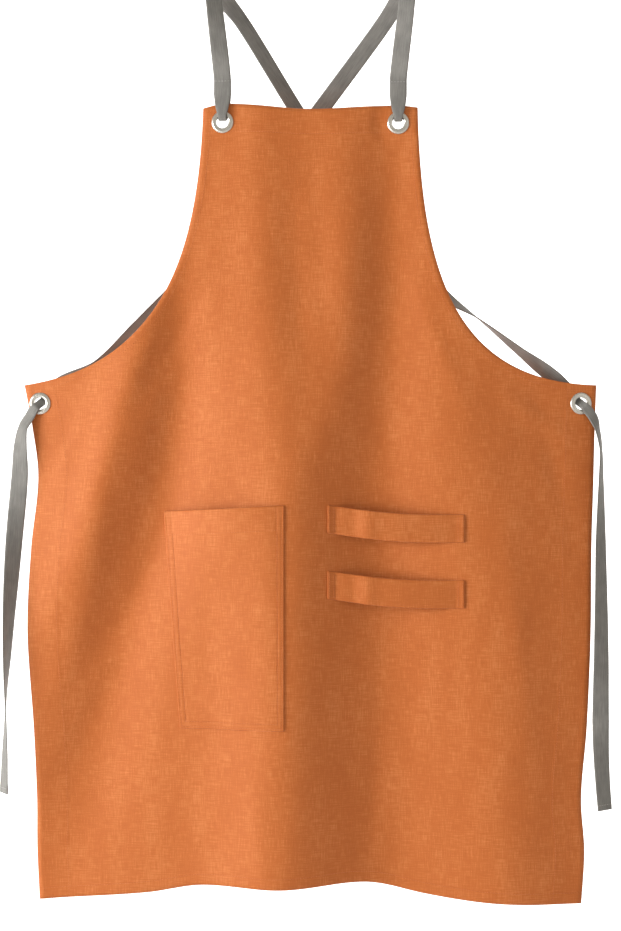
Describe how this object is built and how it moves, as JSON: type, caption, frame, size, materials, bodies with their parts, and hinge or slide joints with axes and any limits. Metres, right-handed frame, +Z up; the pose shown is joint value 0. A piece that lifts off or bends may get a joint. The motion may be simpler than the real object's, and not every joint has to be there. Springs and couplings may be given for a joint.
{
  "type": "cross back apron",
  "caption": "Linen work apron with a bib and a full skirt, a patch pocket, band loops and tape straps that cross at the back through metal eyelets.",
  "frame": {"origin": "midway between the two shoulder straps, at the underside of their tops, where a rail carries them", "axes": "+Z up along the apron's length, the front faces -Y, +X to the viewer's right"},
  "size_m": [0.7117, 0.0896, 1.0707],
  "materials": {
    "linen": "plain woven linen, orange",
    "strap_tape": "woven cotton tape, grey",
    "nickel": "bright nickel plate"
  },
  "bodies": {
    "root": {"body_panel": "linen", "patch_pocket": "linen", "upper_loop": "linen", "lower_loop": "linen", "top_left_eyelet": "nickel", "top_left_washer": "nickel", "top_right_eyelet": "nickel", "top_right_washer": "nickel", "side_left_eyelet": "nickel", "side_left_washer": "nickel", "side_right_eyelet": "nickel", "side_right_washer": "nickel", "left_shoulder_strap": "strap_tape", "right_shoulder_strap": "strap_tape"}
  },
  "joints": []
}
